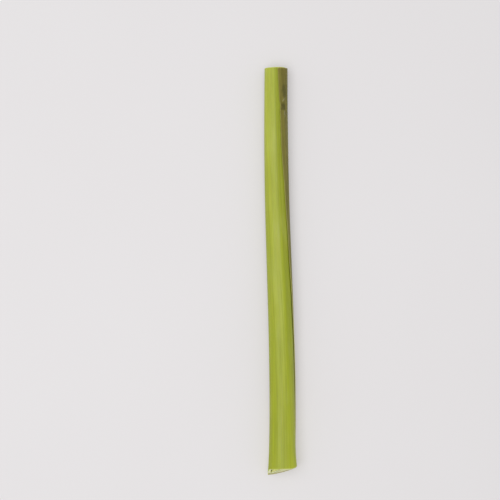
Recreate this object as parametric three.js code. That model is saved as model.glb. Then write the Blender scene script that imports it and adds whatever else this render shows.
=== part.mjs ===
// A cut lemongrass stalk lying on its side: a roll of leaf sheaths, each one a separate leaf.
// Millimetres, +Z up. The stalk runs along Y, with its thicker base at -Y and its top at +Y.
// Angles go round the stalk in degrees: 0 is straight up, 90 is towards +X, 180 is the underside.
import * as THREE from "three";

const { clamp, degToRad, lerp, smoothstep } = THREE.MathUtils;

// Driving dimensions of the whole stalk
const LENGTH = 132.6; // along the centre line, from cut to cut
const HALF_WIDTH_TOP = 3.46; // of the green roll, which the outer sheath adds to
const TAPER = 0.86; // gained by the half width from top to base
const FLARE = 0.55; // gained again by the swollen foot
const FLARE_RUN = 0.04; // share of the length in which the foot dies away
const HEIGHT_SHARE = 0.885; // height over width, since the stalk lies on its flatter side
const SWAY = 0.42; // sideways S of the centre line
const FOOT_BEND = 0.16; // sideways bend of the centre line towards the foot
const TWIST = 38; // turned by the rolled leaves from the top to the base
const TWIST_BEND = 1.6; // above 1, they turn more in the upper half than in the lower
const REST_DEPTH = 0.15; // how far the underside is pressed flat
const FOOT_STATIONS = [0, 0.012, 0.03, 0.06]; // shares of the length, below the even stations

// The knife cuts slope across the stalk and up its height, as mm of length for each mm
const BASE_CUT = { across: 0.24, up: 0.29 };
const TOP_CUT = { across: 0.02, up: 0 };
const CUT_RUN = 0.06; // share of the length in which a slope dies away
// The green leaf's foot is torn short on one side and left long on the other
const FOOT_RIM = [
  { angle: -62, width: 30, reach: -0.8 },
  { angle: 38, width: 40, reach: 0.95 },
];

// Rolled leaves
const GAP = 0.1; // air between neighbouring leaves and between a leaf's own turns
const LAP_BLEND = 15; // angle in which a leaf steps up or down beside its own lap
const DIVE = 28; // angle in which a leaf rolled up on itself dives under its own start
const MARGIN_THICKNESS = 0.24; // of the outer sheath's thin edges
const MARGIN_WIDTH = 0.35; // share of the outer sheath in which it thickens
const MARGIN_WAVES = [
  { height: 1.5, length: 0.3, phase: 1 },
  { height: 0.9, length: 0.14, phase: 0 },
]; // waves of its first margin, in degrees and shares of the stalk's length
const KEEL = { angle: -5, height: 0.14, width: 14 }; // low ridge along the green leaf's back, at the top

// How far the leaf stack grows from the top to a place s along it, 0 at the base and 1 at the top
const halfWidth = (s) => HALF_WIDTH_TOP + TAPER * (1 - s) + FLARE * Math.exp(-s / FLARE_RUN);
const growth = (s) => halfWidth(s) / HALF_WIDTH_TOP;

// How far the rolled leaves are turned at a place along the stack
const twist = (s) => TWIST * (1 - s ** TWIST_BEND);

// A leaf is a strip that is rolled up. Its profile is given against its turn, in degrees from its first
// margin: outerAt and innerAt are how far its two faces lie outside the green roll's surface, at the top.

// A leaf that goes right round and tucks its first margin under its last.
function lappedSheath({ seam, lap, outer, thickness, ...rest }) {
  const step = (thickness + GAP) / 2;
  return {
    ...rest,
    start: (s) => seam + twist(s),
    sweep: () => 360 + lap,
    breaks: [0, lap, lap + LAP_BLEND, 360 - LAP_BLEND, 360, 360 + lap],
    outerAt: (turn) => outer - step * (1 - smoothstep(turn, lap, lap + LAP_BLEND)),
    innerAt: (turn) => outer - thickness + step * smoothstep(turn, 360 - LAP_BLEND, 360),
  };
}

// A leaf rolled up on itself: before the end of each round it dives in under its own start.
function rolledLeaf({ seam, rounds, outer, thickness, ...rest }) {
  const dive = (turn, round) => smoothstep(turn, 360 * round - DIVE, 360 * round);
  const outerAt = (turn) => outer - (thickness + GAP) * (dive(turn, 1) + dive(turn, 2));
  return {
    ...rest,
    start: (s) => seam + twist(s),
    sweep: () => 360 * rounds,
    breaks: [0, 360 - DIVE, 360, 720 - DIVE, 720, 360 * rounds],
    outerAt,
    innerAt: (turn) => outerAt(turn) - thickness,
  };
}

// A leaf whose margins stand apart: from and to are their angles at the base and at the top.
function openSheath({ from, to, thickness, ...rest }) {
  const wave = (s, { height, length, phase }) => height * Math.sin((2 * Math.PI * s) / length + phase);
  const start = (s) => lerp(from.base, from.top, s) + wave(s, MARGIN_WAVES[0]) + wave(s, MARGIN_WAVES[1]);
  const sweep = (s) => lerp(to.base, to.top, s) - start(s);
  const whole = sweep(0);
  const near = (turn) => Math.min(turn, whole - turn) / whole;
  const body = (turn) => smoothstep(near(turn), 0, MARGIN_WIDTH);
  return {
    ...rest,
    start,
    sweep,
    breaks: [0, whole],
    outerAt: (turn) => GAP + lerp(MARGIN_THICKNESS, thickness, body(turn)),
    innerAt: () => GAP,
  };
}

// ends is how far a leaf stands out of the cut at the base and at the top, and spans the even steps along it
const LEAVES = [
  openSheath({
    name: "outer_sheath",
    from: { base: 118, top: 12 },
    to: { base: 246, top: 232 },
    thickness: 0.6,
    ribs: 26,
    rib: 0.08,
    spans: 28,
    ends: { base: 0.2, top: -0.25 },
    colour: 0x7d7640,
  }),
  lappedSheath({
    name: "second_sheath",
    seam: 150,
    lap: 48,
    outer: 0,
    thickness: 0.75,
    ribs: 48,
    rib: 0.08,
    spans: 10,
    rim: FOOT_RIM,
    ends: { base: 0, top: 0 },
    colour: 0xa6b048,
  }),
  lappedSheath({
    name: "third_sheath",
    seam: -35,
    lap: 55,
    outer: -0.85,
    thickness: 0.65,
    ribs: 24,
    rib: 0,
    spans: 8,
    ends: { base: 0.2, top: -0.15 },
    colour: 0xbcc46c,
  }),
  lappedSheath({
    name: "fourth_sheath",
    seam: 120,
    lap: 60,
    outer: -1.6,
    thickness: 0.5,
    ribs: 22,
    rib: 0,
    spans: 8,
    ends: { base: 0.1, top: 0.1 },
    colour: 0xcdd48c,
  }),
  rolledLeaf({
    name: "heart_leaf",
    seam: 60,
    rounds: 2.6,
    outer: -2.2,
    thickness: 0.32,
    ribs: 40,
    rib: 0,
    spans: 8,
    ends: { base: 0.35, top: 0.25 },
    colour: 0xd6da9a,
  }),
];

const OUTER_SHEATH = LEAVES[0];

// The centre line stands where the outer sheath's underside, pressed flat, touches the ground.
function centreHeight(s) {
  const turn = ((180 - OUTER_SHEATH.start(s)) / OUTER_SHEATH.sweep(s)) * OUTER_SHEATH.sweep(0);
  const radius = halfWidth(s) + OUTER_SHEATH.outerAt(turn) * growth(s);
  return HEIGHT_SHARE * radius - REST_DEPTH;
}

// A smooth bump round the stalk, 1 at its middle angle.
function bump(angle, { angle: middle, width }) {
  const away = ((((angle - middle) % 360) + 540) % 360) - 180;
  return Math.exp(-((away / width) ** 2));
}

// The keel lifts every surface that lies over the green leaf's back, and fades with depth.
const keelLift = (s, angle, depth) => KEEL.height * bump(angle - twist(s), KEEL) * clamp(1 + depth, 0, 1);

// How far a leaf stands out of the base cut at an angle.
const footReach = (leaf, angle) =>
  (leaf.rim ?? []).reduce((sum, part) => sum + part.reach * bump(angle, part), leaf.ends.base);

// The point of a leaf at s along the stalk, turn round the leaf and depth outside the green roll.
function rolledPoint(leaf, s, turn, depth) {
  const angle = leaf.start(s) + (turn * leaf.sweep(s)) / leaf.sweep(0);
  const radius = halfWidth(s) + (depth + keelLift(s, angle, depth)) * growth(s);
  const x = radius * Math.sin(degToRad(angle));
  const up = HEIGHT_SHARE * radius * Math.cos(degToRad(angle));
  const base = clamp(1 - s / CUT_RUN, 0, 1);
  const top = clamp(1 - (1 - s) / CUT_RUN, 0, 1);
  const y =
    lerp(-LENGTH / 2, LENGTH / 2, s) +
    base * (BASE_CUT.across * x + BASE_CUT.up * up - footReach(leaf, angle)) +
    top * (TOP_CUT.across * x + TOP_CUT.up * up + leaf.ends.top);
  const z = Math.max(0, centreHeight(s) + up);
  const aside = SWAY * Math.sin(2 * Math.PI * s) + FOOT_BEND * (1 - s) ** 3;
  return new THREE.Vector3(x + aside, y, z);
}

// Turns at which the ribs meet, with a meeting at each of the leaf's breaks.
function ribTurns(leaf) {
  const width = leaf.sweep(0) / leaf.ribs;
  const turns = [0];
  for (let i = 1; i < leaf.breaks.length; i += 1) {
    const [low, high] = [leaf.breaks[i - 1], leaf.breaks[i]];
    const count = Math.max(1, Math.round((high - low) / width));
    for (let k = 1; k <= count; k += 1) turns.push(lerp(low, high, k / count));
  }
  return turns;
}

// The closed outline of a leaf across the stalk: its ribbed outer face, then its plain inner face back.
function outline(leaf, s, turns) {
  const ring = [];
  turns.forEach((turn, i) => {
    ring.push(rolledPoint(leaf, s, turn, leaf.outerAt(turn) - leaf.rib));
    if (i === turns.length - 1) return;
    const crest = (turn + turns[i + 1]) / 2;
    ring.push(rolledPoint(leaf, s, crest, leaf.outerAt(crest)));
  });
  [...turns].reverse().forEach((turn) => ring.push(rolledPoint(leaf, s, turn, leaf.innerAt(turn))));
  return ring;
}

// Places along a leaf: those of the foot, then even ones up to the top.
function stations(leaf) {
  const foot = FOOT_STATIONS.at(-1);
  const even = Array.from({ length: leaf.spans }, (_, i) => lerp(foot, 1, (i + 1) / leaf.spans));
  return [...FOOT_STATIONS, ...even];
}

// A leaf's solid: its outlines at the stations, joined by walls and closed at both cuts.
function leafGeometry(leaf) {
  const turns = ribTurns(leaf);
  const rings = stations(leaf).map((s) => outline(leaf, s, turns));
  const size = rings[0].length;
  const index = [];
  for (let i = 0; i < rings.length - 1; i += 1) {
    for (let j = 0; j < size; j += 1) {
      const [a, b] = [i * size + j, i * size + ((j + 1) % size)];
      index.push(a, b, a + size, b, b + size, a + size);
    }
  }
  const last = (rings.length - 1) * size;
  for (let k = 0; k < turns.length - 1; k += 1) {
    const [low, crest, high] = [2 * k, 2 * k + 1, 2 * k + 2];
    const [inHigh, inLow] = [size - 2 - k, size - 1 - k];
    const faces = [low, inLow, crest, crest, inLow, inHigh, crest, inHigh, high];
    index.push(...faces);
    for (let f = 0; f < faces.length; f += 3) {
      index.push(last + faces[f], last + faces[f + 2], last + faces[f + 1]);
    }
  }
  return new THREE.BufferGeometry().setFromPoints(rings.flat()).setIndex(index);
}

function leafMesh(leaf) {
  const geometry = leafGeometry(leaf);
  geometry.computeVertexNormals();
  const material = new THREE.MeshStandardMaterial({ color: leaf.colour, roughness: 0.5, metalness: 0 });
  const mesh = new THREE.Mesh(geometry, material);
  mesh.name = leaf.name;
  return mesh;
}

// The stalk is set with the middle of its underside on the origin.
const stalk = new THREE.Group().add(...LEAVES.map(leafMesh));
const middle = new THREE.Box3().setFromObject(stalk).getCenter(new THREE.Vector3());
stalk.position.set(-middle.x, -middle.y, 0);

export default new THREE.Group().add(stalk);
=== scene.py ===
"""A cut lemongrass stalk on a pale table, with its rolled leaf sheaths in fine detail."""

import math
from types import SimpleNamespace

import bpy
import numpy as np
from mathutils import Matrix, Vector


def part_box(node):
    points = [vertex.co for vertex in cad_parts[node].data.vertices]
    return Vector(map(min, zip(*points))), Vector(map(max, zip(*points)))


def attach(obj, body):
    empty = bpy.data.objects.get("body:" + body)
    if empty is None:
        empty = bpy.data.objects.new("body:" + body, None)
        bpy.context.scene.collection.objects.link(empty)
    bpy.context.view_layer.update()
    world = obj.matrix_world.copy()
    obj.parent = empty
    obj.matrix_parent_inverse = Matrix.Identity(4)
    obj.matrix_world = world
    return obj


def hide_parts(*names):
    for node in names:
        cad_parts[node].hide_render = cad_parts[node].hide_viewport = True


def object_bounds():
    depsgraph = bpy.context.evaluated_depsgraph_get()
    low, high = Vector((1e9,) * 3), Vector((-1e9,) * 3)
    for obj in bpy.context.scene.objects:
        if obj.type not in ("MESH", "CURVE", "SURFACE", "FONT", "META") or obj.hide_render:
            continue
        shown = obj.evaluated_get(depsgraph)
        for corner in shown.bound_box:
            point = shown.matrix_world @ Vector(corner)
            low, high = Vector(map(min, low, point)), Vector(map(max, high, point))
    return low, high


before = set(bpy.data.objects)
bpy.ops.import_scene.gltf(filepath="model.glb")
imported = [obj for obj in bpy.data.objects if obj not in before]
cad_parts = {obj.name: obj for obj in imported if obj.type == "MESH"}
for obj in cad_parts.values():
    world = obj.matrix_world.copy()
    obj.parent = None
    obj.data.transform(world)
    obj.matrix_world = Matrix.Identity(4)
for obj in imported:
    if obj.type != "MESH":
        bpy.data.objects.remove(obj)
cad_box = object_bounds()

MM = 0.001
SEED = 7

# Shape of the rolled stalk in millimetres and degrees, the same as that of the frame's solids.
# Angles go round the stalk: 0 is straight up, 90 is towards +X, 180 is the underside.
# Places along it go from 0 at the base to 1 at the top.
LENGTH = 132.6  # along the centre line, from cut to cut
HALF_WIDTH_TOP = 3.46  # of the green roll, which the outer sheath adds to
TAPER = 0.86  # gained by the half width from top to base
FLARE = 0.55  # gained again by the swollen foot
FLARE_RUN = 0.04  # share of the length in which the foot dies away
HEIGHT_SHARE = 0.885  # height over width, since the stalk lies on its flatter side
SWAY = 0.42  # sideways S of the centre line
FOOT_BEND = 0.16  # sideways bend of the centre line towards the foot
TWIST = 38.0  # turned by the rolled leaves from the top to the base
TWIST_BEND = 1.6  # above 1, they turn more in the upper half than in the lower
REST_DEPTH = 0.15  # how far the underside is pressed flat
GAP = 0.1  # air between neighbouring leaves and between a leaf's own turns
LAP_BLEND = 15.0  # angle in which a leaf steps up or down beside its own lap
DIVE = 28.0  # angle in which a leaf rolled up on itself dives under its own start
MARGIN_THICKNESS = 0.24  # of the outer sheath's thin edges
MARGIN_WIDTH = 0.35  # share of the outer sheath in which it thickens
GREEN_SEAM = 150.0  # where the green leaf's first margin lies at the top
KEEL_ANGLE = -5.0  # of the low ridge along the green leaf's back, at the top
KEEL_HEIGHT = 0.14
KEEL_WIDTH = 14.0

# The knife cuts slope across the stalk and up its height, as mm of length for each mm
BASE_CUT = (0.24, 0.29)
TOP_CUT = (0.02, 0.0)
CUT_RUN = 0.06  # share of the length in which a slope dies away

# The green leaf's foot, torn short and left long: middle angle of each part, its width and its reach
FOOT_RIM = ((-62.0, 30.0, -0.8), (38.0, 40.0, 0.95))

# Waves of the outer sheath's first margin: height in degrees, share of the stalk's length, and phase
MARGIN_WAVES = ((1.5, 0.3, 1.0), (0.9, 0.14, 0.0))

# Fine relief in millimetres
VEIN_PITCH = (0.34, 0.66)  # least and most from one groove between veins to the next
GROOVE_STRENGTH = (0.35, 1.0)  # least and most share of its full depth that a groove has
GROOVE_SHARPNESS = 1.5  # above 1, the grooves are narrower than the veins
UNDULATION_CELL = (24.0, 5.0)  # size of a soft swelling, along the leaf and round it
WRINKLE_CELL = (11.0, 0.7)  # size of a drying leaf's pucker
CUT_GRAIN = 0.018  # how rough a cut face is

# Small nicks in the outer sheath's first margin: place, depth in degrees and length in millimetres
NICKS = (
    (0.905, 1.6, 0.9),
    (0.83, 0.8, 0.5),
    (0.71, 1.3, 0.8),
    (0.55, 0.9, 0.6),
    (0.43, 1.8, 1.1),
    (0.19, 1.2, 0.9),
)
NICK_REACH = 30.0  # degrees from the margin in which the leaf gives way to a nick
MARGIN_LIFT = 0.05  # most that the margin stands off, in millimetres
LIFT_WAVE = (13.0, 2.0)  # how it comes and goes: radians from base to top, and phase
LIFT_REACH = 12.0  # degrees from the margin in which the leaf lifts with it

# Points across each leaf's outer face and its inner face, and millimetres between its rows
OUTER_POINTS = (210, 70, 0.8)
SECOND_POINTS = (380, 130, 1.5)
THIRD_POINTS = (220, 110, 6.0)
FOURTH_POINTS = (180, 90, 6.0)
HEART_POINTS = (260, 200, 6.0)
ARC_POINTS = 7  # round a leaf's margin
MEASURE_POINTS = (60, 900)  # along the green leaf and round it, where it is set on its solid

# Rows of points beside a cut, in millimetres from it
END_ROWS = (0.12, 0.3, 0.6, 1.1, 1.8, 2.8, 4.2)

# Rows of points on a cut face: share of the way from rim to middle, and millimetres it draws back
CUT_ROWS = ((0.0, 0.05), (0.05, 0.015), (0.14, 0.0), (0.32, 0.025), (0.55, 0.045), (0.74, 0.05))

# Where the look of a cut starts and ends
CUT_EDGE = 0.1  # share of the way from rim to middle in which skin turns to flesh
CUT_RIM = 0.4  # millimetres along the leaf in which the skin pales towards a cut
MARGIN_DRY = 0.35  # millimetres in which the old leaf's paler margin dies away

# Photograph: its side and the middle of the stalk in pixels, and the stalk's lean in degrees
PHOTO_SIDE = 500
STALK_PIXEL = (279.0, 271.5)
STALK_LEAN = 0.97
MM_PER_PIXEL = 0.33
CAMERA_HEIGHT = 450.0  # above the stalk's axis, in millimetres
SENSOR = 36.0  # width of the camera's sensor, in millimetres

# Colours along the leaves, from the base at 0 to the top at 1
# Greens left and right of the keel: partly the leaf's own tones, partly painted light from the left
# near the top; at the foot the left is darkened as painted shade and the right lightened as painted
# light
LEFT_GREEN_WITH_PAINTED_LIGHT = ((0.0, "98a223"), (0.05, "96a01c"), (0.7, "9fa832"), (0.85, "a8b13c"), (1.0, "a9b23e"))
RIGHT_GREEN_WITH_PAINTED_LIGHT = ((0.0, "a8b22c"), (0.05, "a0aa26"), (0.4, "949f22"), (0.75, "959f24"), (1.0, "9aa428"))
# The old leaf's pale foot is partly its own drier tan, partly painted light on its shaded right flank
OLIVE_AND_PAINTED_FOOT_LIGHT = ((0.0, "d2cf7c"), (0.08, "c2bd66"), (0.2, "98923e"), (0.6, "78742c"), (1.0, "716a26"))

# Where the green leaf's keel runs on its grain map, and from where to where beside it the greens meet
KEEL_GRAIN = math.radians(360 + KEEL_ANGLE - GREEN_SEAM) * HALF_WIDTH_TOP
GREENS_MEET = (-1.2, 0.3)

# Inner faces of the green leaf and the old one, and skin of the pale leaves and its faint streaks
GREEN_INSIDE = "cdd48a"
OLD_INSIDE = "a9a868"
PALE_SKIN = "c2ca6c"
HEART_SKIN = "d8dc94"
PALE_STREAK = "dfe3b4"
PALE_STREAKS = (2.0, 0.03)  # how many to a millimetre, across the grain and along it
PALE_EDGE = (0.35, 0.7)  # where in the noise they start and are full

# Colours of a cut leaf's rim, flesh and strands, and its rows of strands
GREEN_CUT = ("c8d266", "f4f6c6", "c2ca70", 3.0)
OLD_CUT = ("b0a85a", "c8c382", "8a8440", 2.0)
PALE_CUT = ("cdd67c", "f0f2ca", "c3cb7c", 2.0)
HEART_CUT = ("dbe09a", "f5f5da", "d0d696", 2.0)
CUT_FADE = (0.35, 1.0)  # from skin to cut, in the values stored near a cut
RIM_EDGE = (0.32, 0.5)  # from flesh to rim, in shares of the thickness from its middle
STRANDS_PER_MM = 2.3
STRAND_SCATTER = 0.55
STRAND_EDGE = (0.34, 0.14)  # from outside a strand to inside it, in the noise's cells
STRAND_SHADE = 0.55

# A cut's rim dries to tan in places, and its flesh is blotched
DRY_RIM = "b5a552"
DRY_CELLS = (600, 200, 600)  # patches to a metre
DRY_EDGE = (0.5, 0.62)  # where in the noise they start and are full
DRY_SHARE = 0.75
BLOTCH_CELLS = (1100, 300, 1100)  # blotches to a metre
BLOTCH_LIGHT = (1.04, 0.93)  # how bright they are at the noise's low and high end

# Streaks: how many there are to a millimetre across the grain and along it, detail, and how bright they
# are at the noise's low and high end
GREEN_STREAKS = (
    (0.8, 0.012, 3.0, 1.06, 0.95),
    (1.5, 0.11, 3.0, 1.04, 0.96),
    (2.4, 0.02, 4.0, 0.93, 1.07),
    (7.0, 0.05, 2.0, 1.04, 0.95),
)
OLD_STREAKS = (
    (0.7, 0.09, 5.0, 1.12, 0.86),
    (3.2, 0.04, 4.0, 0.9, 1.12),
)
NOISE_SPREAD = (0.3, 0.7)  # where most of a noise's values lie

# Patches of another colour: how many to a millimetre across and along, detail, where in the noise they
# start and are full, strength, and colour
GREEN_PATCHES = (
    (0.5, 0.03, 3.0, 0.5, 0.75, 0.22, "b4b446"),
    (0.35, 0.07, 4.0, 0.48, 0.8, 0.12, "c0c687"),
)
OLD_PATCHES = ((0.5, 0.02, 3.0, 0.48, 0.72, 0.4, "707628"),)

# Specks: how many to a millimetre across the grain, strength, and colour
GREEN_SPECKS = (0.9, 0.4, "7b7a34")
OLD_SPECKS = (1.3, 0.6, "403c16")
SPECK_STRETCH = 0.45  # how many there are along the grain for each one across
SPECK_EDGE = (0.16, 0.07)  # from outside a speck to inside it, in the noise's cells
SPECK_GROUPS = (0.2, 0.06)  # groups of them to a millimetre, across and along
GROUP_EDGE = (0.5, 0.7)  # where in the noise a group starts and is full

# Marks on the old leaf: across and along its grain map, half width and half length in millimetres,
# lean in degrees, and strength
DARK_MARKS = (
    (1.5, 124.7, 0.75, 2.6, 0.0, 0.55),
    (1.05, 119.7, 0.75, 1.5, 0.0, 0.7),
    (1.9, 117.6, 0.4, 1.2, 0.0, 0.45),
    (2.9, 96.0, 0.6, 3.0, 0.0, 0.4),
    (4.8, 70.0, 0.8, 4.0, 0.0, 0.45),
    (6.9, 104.0, 0.9, 5.0, 0.0, 0.4),
    (5.6, 38.0, 0.7, 3.5, 0.0, 0.4),
)
SCUFFS = (
    (1.25, 121.9, 0.13, 0.95, -35.0, 0.6),
    (1.3, 117.2, 0.14, 1.3, 0.0, 0.35),
    (1.6, 113.2, 0.1, 0.7, 8.0, 0.3),
    (5.2, 88.0, 0.12, 1.6, -22.0, 0.35),
    (7.6, 52.0, 0.14, 1.2, 28.0, 0.3),
)
DARK_MARK = "42400a"
SCUFF = "9a9878"
# The old leaf's brighter margin is partly its paler dry edge, partly painted light against the shade of
# the crease beside it
DRY_MARGIN_AND_PAINTED_LIGHT = 1.2  # how much brighter the old leaf's margin is
MARK_EDGE = (1.3, 0.2)  # squared distances, in half sizes, where a mark starts and is full
MARK_WANDER = (2.2, 1.1)  # waves to a millimetre in its uneven edge, across and along

# Waxy skin of every leaf, and how much light goes through it and how far, in metres
LEAF_IOR = 1.42
GLOW_WEIGHT = 0.12
GLOW_RADIUS = (0.6, 1.0, 0.2)
GLOW_DEPTH = 0.0006

# Fine ridges and streaks of gloss: how many there are to a millimetre, across and along
FINE_GRAIN = (5.0, 0.06)
RIDGE_STRENGTH = 0.5
GLOSS_GRAIN = (1.4, 0.05)
GLOSS_SPREAD = (0.25, 0.75)  # where in the noise the gloss starts to change and ends

# Table and light in metres and watts
FLOOR_SIDE = 1.6
FLOOR_TONES = ("b9b8b9", "b6b4b5")
FLOOR_CELLS = (14, 14, 14)  # patches of tone to a metre
FLOOR_ROUGHNESS = 0.7
FLOOR_GLOW = 0.26
FLOOR_GLOW_COLOUR = "fffcfe"
KEY_PLACE = (-0.12, 0.0, 0.54)
KEY_SIDE = 0.5
KEY_POWER = 1.9
WORLD_LIGHT = 0.66
WORLD_COLOUR = "f1efee"


# Numbers

def smoothstep(value, low, high):
    share = np.clip((value - low) / (high - low), 0, 1)
    return share * share * (3 - 2 * share)


def lerp(low, high, share):
    return low + (high - low) * share


def knot_weights(places, cell):
    """How much each place takes from knots that stand a cell apart."""
    steps = (places - places.min()) / cell
    low = np.floor(steps).astype(int)
    share = smoothstep(steps - low, 0, 1)
    weights = np.zeros((len(places), low.max() + 2))
    rows = np.arange(len(places))
    weights[rows, low] = 1 - share
    weights[rows, low + 1] = share
    return weights


def rough(rng, along, around, cell):
    """A smooth random field from 0 to 1: a row for each place along, a column for each around."""
    rows = knot_weights(along, cell[0])
    columns = knot_weights(around, cell[1])
    return rows @ rng.uniform(0, 1, (rows.shape[1], columns.shape[1])) @ columns.T


def vein_grooves(rng, around):
    """Depth of the grooves between a leaf's parallel veins, from 0 on a vein to about 1."""
    spacing = rng.uniform(*VEIN_PITCH, int(np.ptp(around) / VEIN_PITCH[0]) + 2)
    grooves = around.min() + np.cumsum(spacing) - spacing[0]
    order = np.arange(len(grooves))
    phase = np.interp(around, grooves, order)
    strength = np.interp(phase, order, rng.uniform(*GROOVE_STRENGTH, len(grooves)))
    return strength * (0.5 + 0.5 * np.cos(2 * math.pi * phase)) ** GROOVE_SHARPNESS


# Shape of the rolled stalk

def half_width(s):
    return HALF_WIDTH_TOP + TAPER * (1 - s) + FLARE * np.exp(-s / FLARE_RUN)


def growth(s):
    """How far the stack of leaves has grown there from its size at the top."""
    return half_width(s) / HALF_WIDTH_TOP


def twist(s):
    """How far the rolled leaves are turned at a place along the stalk."""
    return TWIST * (1 - s**TWIST_BEND)


def bump(angle, middle, width):
    """A smooth bump round the stalk, 1 at its middle angle."""
    away = (angle - middle + 180) % 360 - 180
    return np.exp(-((away / width) ** 2))


# A leaf is a strip that is rolled up. Its profile is given against its turn, in degrees from its
# first margin: outer_at and inner_at are how far its faces lie outside the green roll, at the top.

def lapped_sheath(seam, lap, outer, thickness, ends, rim=()):
    """A leaf that goes right round and tucks its first margin under its last."""
    step = (thickness + GAP) / 2

    def outer_at(turn):
        return outer - step * (1 - smoothstep(turn, lap, lap + LAP_BLEND))

    def inner_at(turn):
        return outer - thickness + step * smoothstep(turn, 360 - LAP_BLEND, 360)

    return SimpleNamespace(
        start=lambda s: seam + twist(s),
        sweep=lambda s: 360 + lap + 0 * s,
        outer_at=outer_at,
        inner_at=inner_at,
        ends=ends,
        rim=rim,
    )


def rolled_leaf(seam, rounds, outer, thickness, ends):
    """A leaf rolled up on itself: before the end of each round it dives in under its own start."""

    def outer_at(turn):
        dives = sum(smoothstep(turn, 360 * n - DIVE, 360 * n) for n in range(1, math.ceil(rounds)))
        return outer - (thickness + GAP) * dives

    return SimpleNamespace(
        start=lambda s: seam + twist(s),
        sweep=lambda s: 360 * rounds + 0 * s,
        outer_at=outer_at,
        inner_at=lambda turn: outer_at(turn) - thickness,
        ends=ends,
        rim=(),
    )


def open_sheath(first, last, thickness, ends):
    """A leaf whose margins stand apart: first and last are their angles at the base and at the top."""

    def start(s):
        angle = lerp(*first, s)
        for height, length, phase in MARGIN_WAVES:
            angle = angle + height * np.sin(2 * math.pi * s / length + phase)
        return angle

    def sweep(s):
        return lerp(*last, s) - start(s)

    whole = sweep(0)

    def outer_at(turn):
        near = np.minimum(turn, whole - turn) / whole
        return GAP + lerp(MARGIN_THICKNESS, thickness, smoothstep(near, 0, MARGIN_WIDTH))

    return SimpleNamespace(
        start=start,
        sweep=sweep,
        outer_at=outer_at,
        inner_at=lambda turn: GAP + 0 * turn,
        ends=ends,
        rim=(),
    )


# ends is how far a leaf stands out of the cut at the base and at the top
OUTER = open_sheath(first=(118, 12), last=(246, 232), thickness=0.6, ends=(0.2, -0.25))
SECOND = lapped_sheath(
    seam=GREEN_SEAM,
    lap=48,
    outer=0.0,
    thickness=0.75,
    ends=(0.0, 0.0),
    rim=FOOT_RIM,
)
THIRD = lapped_sheath(seam=-35, lap=55, outer=-0.85, thickness=0.65, ends=(0.2, -0.15))
FOURTH = lapped_sheath(seam=120, lap=60, outer=-1.6, thickness=0.5, ends=(0.1, 0.1))
HEART = rolled_leaf(seam=60, rounds=2.6, outer=-2.2, thickness=0.32, ends=(0.35, 0.25))


def centre_height(s):
    """The centre line stands where the outer sheath's underside, pressed flat, touches the ground."""
    turn = (180 - OUTER.start(s)) / OUTER.sweep(s) * OUTER.sweep(0)
    radius = half_width(s) + OUTER.outer_at(turn) * growth(s)
    return HEIGHT_SHARE * radius - REST_DEPTH


def keel_lift(s, angle, depth):
    """The keel lifts every surface that lies over the green leaf's back, and fades with depth."""
    return KEEL_HEIGHT * bump(angle - twist(s), KEEL_ANGLE, KEEL_WIDTH) * np.clip(1 + depth, 0, 1)


def foot_reach(leaf, angle):
    """How far a leaf stands out of the base cut."""
    return leaf.ends[0] + sum(reach * bump(angle, middle, width) for middle, width, reach in leaf.rim)


def rolled_points(leaf, s, angle, depth):
    """Points of a leaf in millimetres: at s along it, and at an angle and a depth round the stalk."""
    radius = half_width(s) + (depth + keel_lift(s, angle, depth)) * growth(s)
    x = radius * np.sin(np.radians(angle))
    up = HEIGHT_SHARE * radius * np.cos(np.radians(angle))
    base = np.clip(1 - s / CUT_RUN, 0, 1)
    top = np.clip(1 - (1 - s) / CUT_RUN, 0, 1)
    y = lerp(-LENGTH / 2, LENGTH / 2, s)
    y = y + base * (BASE_CUT[0] * x + BASE_CUT[1] * up - foot_reach(leaf, angle))
    y = y + top * (TOP_CUT[0] * x + TOP_CUT[1] * up + leaf.ends[1])
    z = np.maximum(0, centre_height(s) + up)
    aside = SWAY * np.sin(2 * math.pi * s) + FOOT_BEND * (1 - s) ** 3
    return np.stack([x + aside, y, z], axis=-1)


def frame_shift():
    """From the roll's own axis to the frame's origin, in millimetres, by the green leaf's solid."""
    rows, columns = MEASURE_POINTS
    s = np.linspace(0, 1, rows)[:, None]
    turn = np.linspace(0, SECOND.sweep(0), columns)
    points = rolled_points(SECOND, s, SECOND.start(s) + turn, SECOND.outer_at(turn))
    low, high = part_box("second_sheath")
    shift = np.array((low + high) / 2) / MM - (points.min((0, 1)) + points.max((0, 1))) / 2
    return shift * (1, 1, 0)


SHIFT = frame_shift()


# Meshes

def leaf_rows(step):
    """Rows along a leaf: place, share of the way in from the rim, and how far a cut face draws back."""
    near = np.array(END_ROWS)
    middle = np.linspace(near[-1], LENGTH - near[-1], round(LENGTH / step))[1:-1]
    along = np.concatenate([near, middle, (LENGTH - near)[::-1]]) / LENGTH
    inset, back = np.array(CUT_ROWS).T
    flat = 0 * along
    place = np.concatenate([0 * inset, along, 1 + 0 * inset])
    inset = np.concatenate([inset[::-1], flat, inset])
    back = np.concatenate([back[::-1], flat, back])
    return place, inset, back


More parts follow.
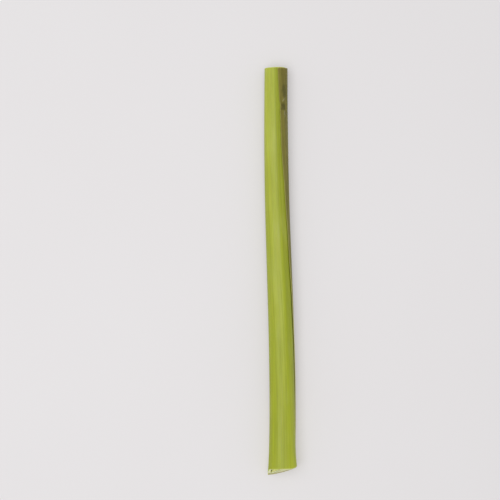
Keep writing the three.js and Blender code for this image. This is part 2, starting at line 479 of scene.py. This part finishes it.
def leaf_ring(leaf, outer_count, inner_count):
    """Once round a leaf's section: outer face, rounded last margin, inner face, first margin.

    side goes from 0 on the outer face to 1 on the inner one, middle is the turn that a point closes
    in on where the leaf is cut, and a corner is the middle point of a rounded margin.
    """
    margins = np.array([0.0, leaf.sweep(0)])
    half = (leaf.outer_at(margins) - leaf.inner_at(margins)) / 2
    first_round, last_round = np.degrees(half / (HALF_WIDTH_TOP + leaf.outer_at(margins)))
    outer = np.linspace(first_round, leaf.sweep(0) - last_round, outer_count)
    inner = np.linspace(outer[-1], outer[0], inner_count)
    arc = np.linspace(0, math.pi, ARC_POINTS + 2)[1:-1]
    last_margin = outer[-1] + last_round * np.sin(arc)
    first_margin = outer[0] - first_round * np.sin(arc[::-1])
    turns = [outer, last_margin, inner, first_margin]
    sides = [0 * outer, (1 - np.cos(arc)) / 2, 1 + 0 * inner, (1 + np.cos(arc)) / 2]
    middles = [outer, outer[-1] + 0 * arc, inner, outer[0] + 0 * arc]
    ring = SimpleNamespace()
    ring.turn, ring.side, ring.middle = (np.concatenate(part) for part in (turns, sides, middles))
    ring.faces_out = np.arange(len(ring.turn)) < outer_count
    ring.last_corner = outer_count + ARC_POINTS // 2
    ring.first_corner = len(ring.turn) - 1 - ARC_POINTS // 2
    return ring


def zip_strip(left, right, left_at, right_at):
    """Triangles between two lines of points that start and end on the same points."""
    faces = []
    i = j = 0
    while i < len(left) - 1 or j < len(right) - 1:
        go_left = j == len(right) - 1 or (i < len(left) - 1 and left_at[i + 1] <= right_at[j + 1])
        if go_left:
            face = (left[i], left[i + 1], right[j])
            i += 1
        else:
            face = (left[i], right[j + 1], right[j])
            j += 1
        if len(set(face)) == 3:
            faces.append(face)
    return faces


def leaf_faces(ring, rows):
    """Walls between the rows of points, and the middle of both cut faces."""
    size = len(ring.turn)
    around = np.arange(size)
    after = (around + 1) % size
    start = (np.arange(rows - 1) * size)[:, None]
    walls = np.stack([start + around, start + after, start + size + after, start + size + around], -1)
    outer_line = np.concatenate([np.arange(ring.first_corner, size), np.arange(ring.last_corner + 1)])
    inner_line = np.arange(ring.first_corner, ring.last_corner - 1, -1)
    base = zip_strip(outer_line, inner_line, ring.turn[outer_line], ring.turn[inner_line])
    last = (rows - 1) * size
    faces = walls.reshape(-1, 4).tolist()
    faces += [face[::-1] for face in base]
    faces += [[last + point for point in face] for face in base]
    return faces


def leaf_section(leaf, ring, inset, dip):
    """Turn and depth of a leaf's points. On a cut they close in on the middle of its thickness."""
    skin = lerp(leaf.outer_at(ring.turn), leaf.inner_at(ring.turn), ring.side)
    middle = (leaf.outer_at(ring.middle) + leaf.inner_at(ring.middle)) / 2
    turn = lerp(ring.turn, ring.middle, inset)
    depth = lerp(skin, middle, inset) - dip * (1 - inset)
    return turn, depth


def leaf_mesh(name, leaf, fineness, relief, nudge=None):
    """A closed leaf. relief gives how far its outer face dips, and nudge moves its margins.

    Its grain map is as wide as the leaf is halfway along it, on the size of the stalk's top.
    """
    outer_count, inner_count, step = fineness
    rng = np.random.default_rng([SEED, len(name)])
    rows, inset, back = (values[:, None] for values in leaf_rows(step))
    ring = leaf_ring(leaf, outer_count, inner_count)
    place = rows + 0 * ring.turn
    around = np.radians(ring.turn) * HALF_WIDTH_TOP * leaf.sweep(0.5) / leaf.sweep(0)
    dip = relief(rng, rows[:, 0] * LENGTH, around) * ring.faces_out
    turn, depth = leaf_section(leaf, ring, inset, dip)
    if nudge:
        turn, depth = nudge(place, turn, depth)
    angle = leaf.start(place) + turn * leaf.sweep(place) / leaf.sweep(0)
    points = rolled_points(leaf, place, angle, depth)
    grain = CUT_GRAIN * rng.normal(0, 1, place.shape) * (inset > CUT_EDGE)
    points[..., 1] += (back + grain) * np.where(place < 0.5, 1, -1)
    mesh = bpy.data.meshes.new(name)
    mesh.from_pydata(((points + SHIFT) * MM).reshape(-1, 3), [], leaf_faces(ring, len(rows)))
    mesh.shade_smooth()
    add_uv(mesh, around + 0 * place, place * LENGTH)
    add_values(mesh, leaf, ring, place, inset)
    return mesh


def add_uv(mesh, around, along):
    """Millimetres round the leaf and along it, as a texture map that follows the leaf's grain."""
    layer = mesh.uv_layers.new(name="grain")
    corners = np.empty(len(mesh.loops), np.int32)
    mesh.loops.foreach_get("vertex_index", corners)
    pairs = np.stack([around.ravel()[corners], along.ravel()[corners]], -1)
    layer.data.foreach_set("uv", pairs.astype(np.float32).ravel())


def add_values(mesh, leaf, ring, place, inset):
    """What the materials read at each point, from 0 to 1.

    How far it belongs to a cut and to the inner face, how deep it lies in the leaf's thickness, and
    how near it is to a margin.
    """
    from_cut = np.minimum(place, 1 - place) * LENGTH
    rim = 1 - smoothstep(from_cut, 0, CUT_RIM)
    from_margin = np.radians(np.minimum(ring.turn, leaf.sweep(0) - ring.turn)) * HALF_WIDTH_TOP
    values = {
        "cut": np.maximum(rim, smoothstep(inset, 0, CUT_EDGE)),
        "inside": ring.side,
        "depth": lerp(ring.side, 0.5, inset),
        "margin": np.exp(-np.maximum(from_margin, 0) / MARGIN_DRY),
    }
    for name, value in values.items():
        layer = mesh.attributes.new(name, "FLOAT", "POINT")
        layer.data.foreach_set("value", (value + 0 * place).astype(np.float32).ravel())


# Relief of each leaf's outer face

def veined_relief(groove, fading, swelling, cell):
    """Grooves between veins that come and go by a share, on a face that swells or puckers."""

    def relief(rng, along, around):
        grooves = vein_grooves(rng, around)
        grooves = grooves * (1 - fading + fading * rough(rng, along, around, UNDULATION_CELL))
        return groove * grooves + swelling * rough(rng, along, around, cell)

    return relief


DRY_RELIEF = veined_relief(groove=0.06, fading=0.5, swelling=0.05, cell=WRINKLE_CELL)
FRESH_RELIEF = veined_relief(groove=0.05, fading=0.4, swelling=0.03, cell=UNDULATION_CELL)
YOUNG_RELIEF = veined_relief(groove=0.03, fading=0.4, swelling=0.02, cell=UNDULATION_CELL)
HEART_RELIEF = veined_relief(groove=0.02, fading=0.4, swelling=0.0, cell=UNDULATION_CELL)


def ragged_margin(place, turn, depth):
    """The outer sheath's first margin has small nicks, and lifts a little here and there."""
    nicks = sum(
        cut * np.exp(-(((place - middle) * LENGTH / length) ** 2))
        for middle, cut, length in NICKS
    )
    nicked = np.clip(1 - turn / NICK_REACH, 0, 1) ** 2
    pace, phase = LIFT_WAVE
    lift = MARGIN_LIFT * (0.5 + 0.5 * np.sin(pace * place + phase))
    lifted = np.clip(1 - turn / LIFT_REACH, 0, 1) ** 2
    return turn + nicks * nicked, depth + lift * lifted


# Materials

def rgb(code):
    """A colour given as six hexadecimal digits, as the light that Blender works with."""
    parts = [int(code[i : i + 2], 16) / 255 for i in (0, 2, 4)]
    return [p / 12.92 if p <= 0.04045 else ((p + 0.055) / 1.055) ** 2.4 for p in parts] + [1.0]


class Paint:
    """A material's nodes, added and joined one at a time."""

    def __init__(self, name):
        self.material = bpy.data.materials.new(name)
        self.material.use_nodes = True
        self.tree = self.material.node_tree
        self.shader = self.tree.nodes["Principled BSDF"]

    def node(self, kind, inputs, output=0, **settings):
        made = self.tree.nodes.new("ShaderNode" + kind)
        for key, value in settings.items():
            setattr(made, key, value)
        for key, value in inputs.items():
            self.put(made.inputs[key], value)
        return made.outputs[output]

    def put(self, socket, value):
        if isinstance(value, bpy.types.NodeSocket):
            self.tree.links.new(value, socket)
        else:
            socket.default_value = value

    def set(self, **inputs):
        """Sets inputs of the surface, named with underscores for their spaces."""
        for key, value in inputs.items():
            self.put(self.shader.inputs[key.replace("_", " ")], value)

    def stored(self, name):
        """The mesh's own value of that name at each point."""
        return self.node("Attribute", {}, output="Fac", attribute_name=name)

    def grain_map(self):
        """Millimetres round the leaf and along it."""
        return self.node("UVMap", {}, uv_map="grain")

    def around(self):
        return self.node("SeparateXYZ", {0: self.grain_map()}, output="X")

    def along(self):
        return self.node("SeparateXYZ", {0: self.grain_map()}, output="Y")

    def vector(self, operation, first, second):
        return self.node("VectorMath", {0: first, 1: second}, operation=operation)

    def dot(self, first, x, y):
        inputs = {0: first, 1: (x, y, 0)}
        return self.node("VectorMath", inputs, output="Value", operation="DOT_PRODUCT")

    def math(self, operation, first, second=0.0, clamp=False):
        return self.node("Math", {0: first, 1: second}, operation=operation, use_clamp=clamp)

    def between(self, value, low, high, to_low=0.0, to_high=1.0):
        """The value's way from low to high, smoothed and put between to_low and to_high."""
        reach = {"From Min": low, "From Max": high, "To Min": to_low, "To Max": to_high}
        return self.node("MapRange", {"Value": value, **reach}, interpolation_type="SMOOTHSTEP")

    def noise(self, vector, detail=3.0):
        return self.node("TexNoise", {"Vector": vector, "Scale": 1.0, "Detail": detail})

    def patches(self, cells):
        """Noise with so many patches to a metre, along X, Y and Z."""
        place = self.node("TexCoord", {}, output="Object")
        return self.noise(self.vector("MULTIPLY", place, cells))

    def streaks(self, across, along, detail=3.0):
        """Noise drawn out along the grain: across and along are how many there are to a millimetre."""
        return self.noise(self.vector("MULTIPLY", self.grain_map(), (across, along, 1)), detail)

    def mix(self, share, first, second):
        return self.node("Mix", {"Factor": share, 6: first, 7: second}, output=2, data_type="RGBA")

    def shade(self, colour, value, low, high):
        """The colour times a factor that goes from low to high with the value."""
        factor = self.between(value, *NOISE_SPREAD, low, high)
        return self.node("VectorMath", {0: colour, "Scale": factor}, operation="SCALE")

    def ramp(self, value, stops):
        """Colours at their places along the value, smoothly joined."""
        made = self.tree.nodes.new("ShaderNodeValToRGB")
        made.color_ramp.interpolation = "EASE"
        points = made.color_ramp.elements
        while len(points) < len(stops):
            points.new(0.5)
        for point, (place, code) in zip(points, stops):
            point.position = place
            point.color = rgb(code)
        self.put(made.inputs[0], value)
        return made.outputs[0]


def streaked(paint, colour, table):
    """The colour under layers of brighter and darker streaks."""
    for across, along, detail, low, high in table:
        colour = paint.shade(colour, paint.streaks(across, along, detail), low, high)
    return colour


def patched(paint, colour, table):
    """The colour under long patches of other colours."""
    for across, along, detail, low, high, strength, code in table:
        patches = paint.between(paint.streaks(across, along, detail), low, high)
        colour = paint.mix(paint.math("MULTIPLY", patches, strength), colour, rgb(code))
    return colour


def speckled(paint, colour, specks):
    """Scattered small marks, longer along the grain than across."""
    cells, strength, code = specks
    where = paint.vector("MULTIPLY", paint.grain_map(), (cells, cells * SPECK_STRETCH, 1))
    away = paint.node("TexVoronoi", {"Vector": where, "Scale": 1.0}, output="Distance")
    groups = paint.between(paint.streaks(*SPECK_GROUPS), *GROUP_EDGE)
    share = paint.math("MULTIPLY", paint.between(away, *SPECK_EDGE), groups)
    return paint.mix(paint.math("MULTIPLY", share, strength), colour, rgb(code))


def marked(paint, colour, table, code):
    """Soft oval marks at their places on the grain map, with uneven edges."""
    wander = paint.vector("SUBTRACT", paint.streaks(*MARK_WANDER), (0.5, 0.5, 0.5))
    here = paint.vector("ADD", paint.grain_map(), wander)
    total = 0.0
    for across, along, half_across, half_along, lean, strength in table:
        away = paint.vector("SUBTRACT", here, (across, along, 0))
        cos = math.cos(math.radians(lean))
        sin = math.sin(math.radians(lean))
        u = paint.dot(away, cos / half_across, sin / half_across)
        v = paint.dot(away, -sin / half_along, cos / half_along)
        far = paint.math("ADD", paint.math("MULTIPLY", u, u), paint.math("MULTIPLY", v, v))
        total = paint.math("ADD", total, paint.between(far, *MARK_EDGE, 0.0, strength), clamp=True)
    return paint.mix(total, colour, rgb(code))


def strand_dots(paint, rows):
    """Cut ends of the leaf's strands, in rows along its thickness."""
    across = paint.node("CombineXYZ", {"X": paint.around(), "Y": paint.stored("depth")})
    cells = paint.vector("MULTIPLY", across, (STRANDS_PER_MM, rows, 1))
    inputs = {"Vector": cells, "Scale": 1.0, "Randomness": STRAND_SCATTER}
    away = paint.node("TexVoronoi", inputs, output="Distance", voronoi_dimensions="2D")
    return paint.math("MULTIPLY", paint.between(away, *STRAND_EDGE), STRAND_SHADE)


def with_cut(paint, skin, cut):
    """The skin, and on a cut the flesh: rimmed by its skins, blotched, and dotted with strands."""
    rim, flesh, strand, rows = cut
    dry = paint.between(paint.patches(DRY_CELLS), *DRY_EDGE, 0.0, DRY_SHARE)
    rim = paint.mix(dry, rgb(rim), rgb(DRY_RIM))
    off_middle = paint.math("ABSOLUTE", paint.math("SUBTRACT", paint.stored("depth"), 0.5))
    tone = paint.mix(paint.between(off_middle, *RIM_EDGE), rgb(flesh), rim)
    tone = paint.shade(tone, paint.patches(BLOTCH_CELLS), *BLOTCH_LIGHT)
    tone = paint.mix(strand_dots(paint, rows), tone, rgb(strand))
    return paint.mix(paint.between(paint.stored("cut"), *CUT_FADE), skin, tone)


def leaf_surface(paint, colour, grain, roughness):
    """Waxy skin: gloss that varies in streaks, and fine grain of a depth in millimetres."""
    height = paint.streaks(*FINE_GRAIN)
    ridges = {"Strength": RIDGE_STRENGTH, "Distance": grain * MM, "Height": height}
    gloss = paint.between(paint.streaks(*GLOSS_GRAIN), *GLOSS_SPREAD, *roughness)
    paint.set(Base_Color=colour, Roughness=gloss, Normal=paint.node("Bump", ridges))
    paint.set(Subsurface_Weight=GLOW_WEIGHT, Subsurface_Radius=GLOW_RADIUS)
    paint.set(Subsurface_Scale=GLOW_DEPTH, IOR=LEAF_IOR)
    return paint.material


def green_leaf():
    """Lighter on the left of its keel than on the right, partly its own tone and partly painted light
    from the left; at the foot, painted shade on the left and painted light on the right. Fine streaks
    and some bloom.
    """
    paint = Paint("green_leaf")
    share = paint.math("DIVIDE", paint.along(), LENGTH)
    left, right = (KEEL_GRAIN + reach for reach in GREENS_MEET)
    side = paint.between(paint.around(), left, right)
    # left and right greens carry painted light and painted shade as well as the leaf's own tones
    body = paint.mix(side, paint.ramp(share, LEFT_GREEN_WITH_PAINTED_LIGHT), paint.ramp(share, RIGHT_GREEN_WITH_PAINTED_LIGHT))
    body = streaked(paint, body, GREEN_STREAKS)
    body = patched(paint, body, GREEN_PATCHES)
    body = speckled(paint, body, GREEN_SPECKS)
    skin = paint.mix(paint.stored("inside"), body, rgb(GREEN_INSIDE))
    return leaf_surface(paint, with_cut(paint, skin, GREEN_CUT), grain=0.05, roughness=(0.36, 0.54))


def old_leaf():
    """Olive and drying to brown, blotched and scuffed, and paler towards the foot, partly its own drier
    tan and partly painted light on its shaded flank.
    """
    paint = Paint("old_leaf")
    share = paint.math("DIVIDE", paint.along(), LENGTH)
    body = patched(paint, paint.ramp(share, OLIVE_AND_PAINTED_FOOT_LIGHT), OLD_PATCHES)
    body = streaked(paint, body, OLD_STREAKS)
    body = speckled(paint, body, OLD_SPECKS)
    body = marked(paint, body, DARK_MARKS, DARK_MARK)
    body = marked(paint, body, SCUFFS, SCUFF)
    # brighter margin: paler dry edge, and painted light against the crease's shade
    body = paint.shade(body, paint.stored("margin"), 1.0, DRY_MARGIN_AND_PAINTED_LIGHT)
    skin = paint.mix(paint.stored("inside"), body, rgb(OLD_INSIDE))
    return leaf_surface(paint, with_cut(paint, skin, OLD_CUT), grain=0.07, roughness=(0.44, 0.64))


def pale_leaf(name, skin, cut):
    """A young leaf that never saw the light, with faint streaks."""
    paint = Paint(name)
    streak = paint.between(paint.streaks(*PALE_STREAKS), *PALE_EDGE)
    skin = paint.mix(streak, rgb(skin), rgb(PALE_STREAK))
    return leaf_surface(paint, with_cut(paint, skin, cut), grain=0.03, roughness=(0.3, 0.45))


def floor_material():
    """White, and lit a little from below, which keeps the shadows light."""
    paint = Paint("table")
    first, second = FLOOR_TONES
    tone = paint.mix(paint.patches(FLOOR_CELLS), rgb(first), rgb(second))
    paint.set(Base_Color=tone, Roughness=FLOOR_ROUGHNESS)
    paint.set(Emission_Color=rgb(FLOOR_GLOW_COLOUR), Emission_Strength=FLOOR_GLOW)
    return paint.material


# Pieces

def add_object(name, data):
    made = bpy.data.objects.new(name, data)
    bpy.context.scene.collection.objects.link(made)
    return made


def place_leaf(name, mesh, material):
    """Shows a leaf in fine detail in place of its plain solid."""
    mesh.materials.append(material)
    piece = add_object(name + "_skin", mesh)
    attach(piece, "root")
    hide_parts(name)


def build_stalk():
    outer = leaf_mesh("outer_sheath", OUTER, OUTER_POINTS, DRY_RELIEF, nudge=ragged_margin)
    second = leaf_mesh("second_sheath", SECOND, SECOND_POINTS, FRESH_RELIEF)
    third = leaf_mesh("third_sheath", THIRD, THIRD_POINTS, YOUNG_RELIEF)
    fourth = leaf_mesh("fourth_sheath", FOURTH, FOURTH_POINTS, YOUNG_RELIEF)
    heart = leaf_mesh("heart_leaf", HEART, HEART_POINTS, HEART_RELIEF)
    pale = pale_leaf("pale_leaf", PALE_SKIN, PALE_CUT)
    core = pale_leaf("heart_leaf", HEART_SKIN, HEART_CUT)
    place_leaf("outer_sheath", outer, old_leaf())
    place_leaf("second_sheath", second, green_leaf())
    place_leaf("third_sheath", third, pale)
    place_leaf("fourth_sheath", fourth, pale)
    place_leaf("heart_leaf", heart, core)


# Table, light and camera

def build_table():
    half = FLOOR_SIDE / 2
    mesh = bpy.data.meshes.new("table")
    corners = [(-half, -half, 0), (half, -half, 0), (half, half, 0), (-half, half, 0)]
    mesh.from_pydata(corners, [], [(0, 1, 2, 3)])
    mesh.materials.append(floor_material())
    add_object("table", mesh)


def build_light():
    """A pale surround, and a square key light that faces the stalk."""
    world = bpy.data.worlds.new("studio")
    bpy.context.scene.world = world
    world.use_nodes = True
    background = world.node_tree.nodes["Background"]
    background.inputs["Color"].default_value = rgb(WORLD_COLOUR)
    background.inputs["Strength"].default_value = WORLD_LIGHT
    light = bpy.data.lights.new("key", "AREA")
    light.shape = "SQUARE"
    light.size = KEY_SIDE
    light.energy = KEY_POWER
    key = add_object("key", light)
    key.location = KEY_PLACE
    key.rotation_euler = (-Vector(KEY_PLACE)).to_track_quat("-Z", "Y").to_euler()


def build_camera():
    """Looks straight down, with the stalk where the photograph has it."""
    low, high = cad_box
    axis_height = (low.z + high.z) / 2
    right = (STALK_PIXEL[0] - PHOTO_SIDE / 2) * MM_PER_PIXEL
    down = (STALK_PIXEL[1] - PHOTO_SIDE / 2) * MM_PER_PIXEL
    turn = -math.radians(STALK_LEAN)
    x = -right * math.cos(turn) - down * math.sin(turn)
    y = -right * math.sin(turn) + down * math.cos(turn)
    data = bpy.data.cameras.new("camera")
    data.sensor_width = SENSOR
    data.lens = SENSOR * CAMERA_HEIGHT / (PHOTO_SIDE * MM_PER_PIXEL)
    camera = add_object("camera", data)
    camera.location = (x * MM, y * MM, axis_height + CAMERA_HEIGHT * MM)
    camera.rotation_euler = (0, 0, turn)
    bpy.context.scene.camera = camera


build_camera()
build_stalk()
build_table()
build_light()
bpy.context.scene.view_settings.view_transform = "Standard"
